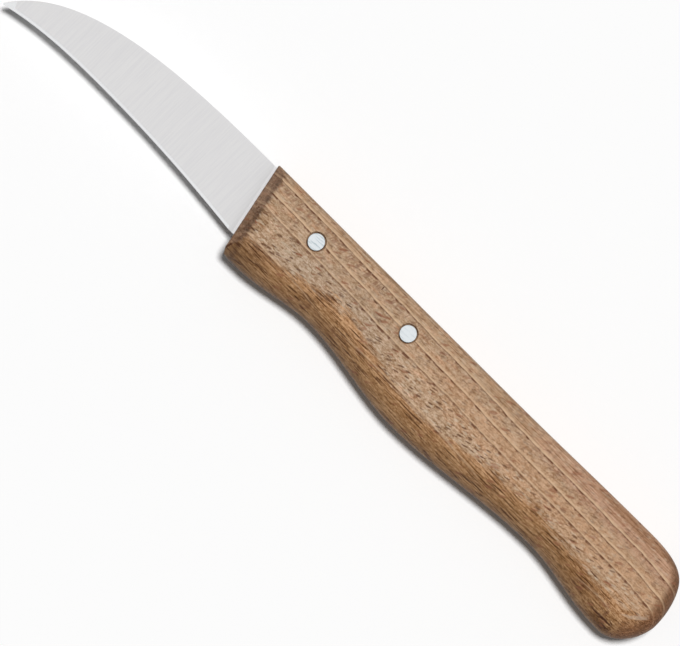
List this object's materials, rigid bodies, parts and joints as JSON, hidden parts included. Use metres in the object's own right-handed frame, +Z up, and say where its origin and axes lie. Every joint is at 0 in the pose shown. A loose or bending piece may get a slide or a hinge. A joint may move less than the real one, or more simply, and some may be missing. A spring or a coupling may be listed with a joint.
{
  "type": "paring knife",
  "caption": "Small paring knife with a curved, hollow-edged steel blade riveted into a shaped one-piece beech handle.",
  "frame": {"origin": "on the surface that the knife lies on, under the middle of its bounding box", "axes": "+X from the tip to the butt of the handle, +Y from the cutting edge to the spine, +Z up out of the upper flat side"},
  "size_m": [0.17, 0.0204, 0.013],
  "materials": {
    "blade_steel": "satin ground stainless steel",
    "beech": "sanded and lightly oiled beech",
    "rivet_aluminium": "ground flush"
  },
  "bodies": {
    "root": {"blade": "blade_steel", "handle": "beech", "front_rivet": "rivet_aluminium", "rear_rivet": "rivet_aluminium"}
  },
  "joints": []
}
